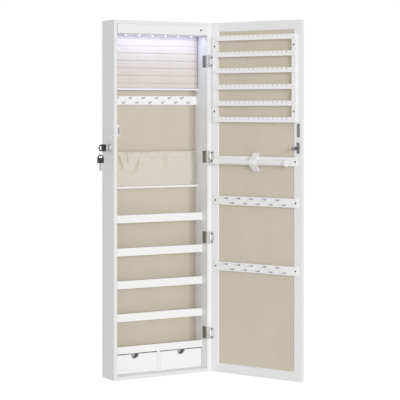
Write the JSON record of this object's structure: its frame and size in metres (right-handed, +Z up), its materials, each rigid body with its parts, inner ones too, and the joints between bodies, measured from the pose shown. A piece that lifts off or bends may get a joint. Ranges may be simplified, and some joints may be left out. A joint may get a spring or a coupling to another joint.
{
  "type": "jewelry mirror cabinet",
  "caption": "Shallow wall cabinet with a lockable mirror door, ring cushion, necklace hooks, cloth pocket, shelves, drawers, earring rack and bracelet bar.",
  "frame": {"origin": "bottom centre of the cabinet's back face, where it lies on the wall", "axes": "+X to the right seen from the front, +Y towards the wall, +Z up"},
  "size_m": [0.5856, 0.4223, 1.2],
  "materials": {
    "white_paint": "satin white paint on fibreboard",
    "back_board": "thin fibreboard, bare at the back",
    "beech": "plain dowel",
    "mirror": "silvered glass",
    "hardboard": "brown hardboard",
    "lining": "beige short-pile flocked fabric",
    "cushion": "beige flocked fabric over foam",
    "pocket_cloth": "beige velour, gathered",
    "hinge_steel": "plated steel",
    "hook_steel": "dull plated wire",
    "screw_steel": "plated",
    "chrome": "polished",
    "key_metal": "dark head, bare blade",
    "white_plastic": "satin",
    "light_plastic": "satin",
    "lamp_plastic": "clear dome, lit",
    "board_green": "circuit board",
    "cell": "plain wrapped cell",
    "magnet": "black ferrite",
    "sensor": "dark dome"
  },
  "bodies": {
    "cabinet": {"side_panel_left": "white_paint", "side_panel_right": "white_paint", "top_panel": "white_paint", "bottom_panel": "white_paint", "dowels": "beech", "back_panel": "back_board", "back_lining": "lining", "hanging_rail": "back_board", "hanger_plates": "hinge_steel", "header_board": "white_paint", "light_sensor": "sensor", "light_housing": "light_plastic", "light_cover": "light_plastic", "light_board": "board_green", "light_lamps": "lamp_plastic", "batteries": "cell", "ring_cushion": "cushion", "ring_shelf": "white_paint", "cabinet_hook_rail": "white_paint", "cabinet_hooks": "hook_steel", "pocket": "pocket_cloth", "pocket_ledge": "white_paint", "shelf_boards": "white_paint", "shelf_front_rails": "white_paint", "drawer_divider": "white_paint", "hinge_leaves_cabinet": "hinge_steel", "hinge_pins": "hinge_steel", "cabinet_screws": "screw_steel", "catch_housing": "white_plastic", "catch_magnet": "magnet", "lock_barrel": "chrome", "lock_nut": "chrome"},
    "door": {"door_stile_hinge_side": "white_paint", "door_stile_lock_side": "white_paint", "door_rail_top": "white_paint", "door_rail_bottom": "white_paint", "mirror_glass": "mirror", "mirror_backing": "hardboard", "door_lining": "lining", "hinge_leaves_door": "hinge_steel", "door_screws": "screw_steel", "catch_strike": "hinge_steel", "lock_hook": "hinge_steel", "rack_uprights": "white_paint", "earring_bars": "white_paint", "bracelet_strip": "white_paint", "bracelet_bracket": "white_plastic", "bracelet_bar": "white_plastic", "door_hook_rails": "white_paint", "door_hooks": "hook_steel"},
    "drawer_left": {"drawer_left_front": "white_paint", "drawer_left_box": "white_paint"},
    "drawer_right": {"drawer_right_front": "white_paint", "drawer_right_box": "white_paint"},
    "lock": {"lock_plug": "chrome", "lock_cam": "hinge_steel", "lock_cam_screw": "screw_steel", "key": "key_metal"},
    "ring": {"key_ring": "chrome"},
    "hanging_key": {"spare_key": "key_metal"}
  },
  "joints": [
    {"name": "door_hinge", "type": "hinge", "parent": "cabinet", "child": "door", "pos_m": [0.1837, -0.09, 0.6], "axis": [0, 0, 1], "range_deg": [-114.8, 30]},
    {"name": "drawer_left_slide", "type": "slide", "parent": "cabinet", "child": "drawer_left", "axis": [0, -1, 0], "range_m": [0, 0.036]},
    {"name": "drawer_right_slide", "type": "slide", "parent": "cabinet", "child": "drawer_right", "axis": [0, -1, 0], "range_m": [0, 0.036]},
    {"name": "lock_turn", "type": "hinge", "parent": "cabinet", "child": "lock", "pos_m": [-0.185, -0.0614, 0.774], "axis": [1, 0, 0], "range_deg": [0, 90]},
    {"name": "ring_hang", "type": "hinge", "parent": "lock", "child": "ring", "pos_m": [-0.2215, -0.06215, 0.76555], "axis": [1, 0, 0], "range_deg": [-90, 0]},
    {"name": "hanging_key_swing", "type": "hinge", "parent": "ring", "child": "hanging_key", "pos_m": [-0.2215, -0.0614, 0.7458], "axis": [0, 1, 0], "range_deg": [-25, 25]}
  ],
  "couplings": [
    {"joint": "ring_hang", "follows": "lock_turn", "ratio": -1}
  ]
}
